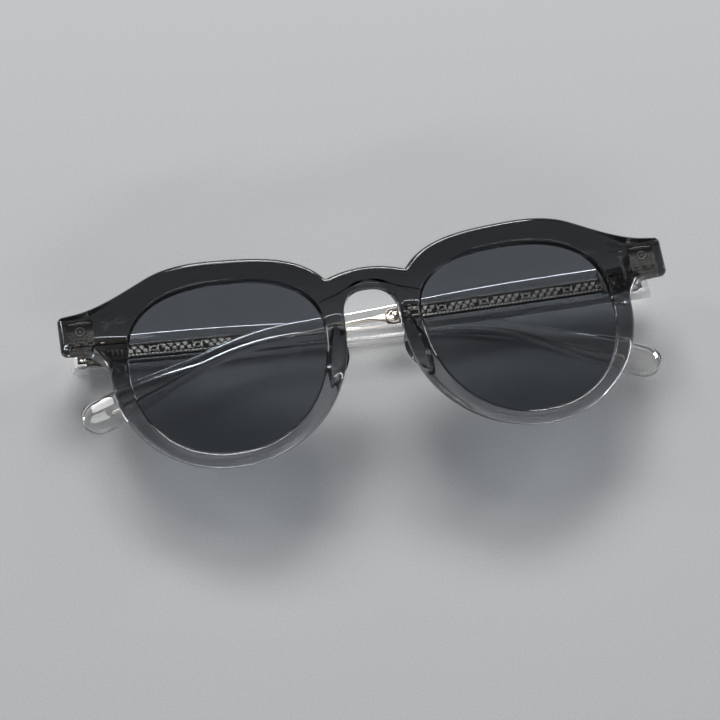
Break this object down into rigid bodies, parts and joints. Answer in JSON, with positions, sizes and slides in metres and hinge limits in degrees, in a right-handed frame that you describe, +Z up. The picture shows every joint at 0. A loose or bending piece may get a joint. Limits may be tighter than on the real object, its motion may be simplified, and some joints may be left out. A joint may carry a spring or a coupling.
{
  "type": "folding sunglasses",
  "caption": "Round acetate sunglasses, folded: grooved front with keyhole-like bridge, tinted lenses, barrel hinges and clear temples over ornamented core wires.",
  "frame": {"origin": "centre of the left temple's flat outer face, on the surface that the folded glasses lie on", "axes": "+X across the glasses towards the right lens, +Y towards the brow, +Z up, out of the lenses' front faces"},
  "size_m": [0.1442, 0.0513, 0.0264],
  "materials": {
    "front_acetate": "polished",
    "temple_acetate": "polished",
    "pad_acetate": "polished",
    "lens_tint": "polished",
    "hinge_metal": "satin",
    "screw_metal": "bright",
    "core_metal": "satin with an embossed border"
  },
  "bodies": {
    "temple_left": {"temple_left": "temple_acetate", "core_wire_left": "core_metal", "temple_leaf_left": "hinge_metal"},
    "front": {"front": "front_acetate", "lens_left": "lens_tint", "lens_right": "lens_tint", "nose_pad_left": "pad_acetate", "nose_pad_right": "pad_acetate", "front_leaf_left": "hinge_metal", "front_leaf_right": "hinge_metal", "hinge_screw_left": "screw_metal", "hinge_screw_right": "screw_metal"},
    "temple_right": {"temple_right": "temple_acetate", "core_wire_right": "core_metal", "temple_leaf_right": "hinge_metal"}
  },
  "joints": [
    {"name": "left_hinge", "type": "hinge", "parent": "temple_left", "child": "front", "pos_m": [-0.0653, 0.00228, 0.006], "axis": [-0.0349, -0.9994, 0], "range_deg": [0, 88]},
    {"name": "right_hinge", "type": "hinge", "parent": "front", "child": "temple_right", "pos_m": [0.06522, 0.00228, 0.01056], "axis": [0.0349, -0.9994, 0.0024], "range_deg": [0, 92.1]}
  ]
}
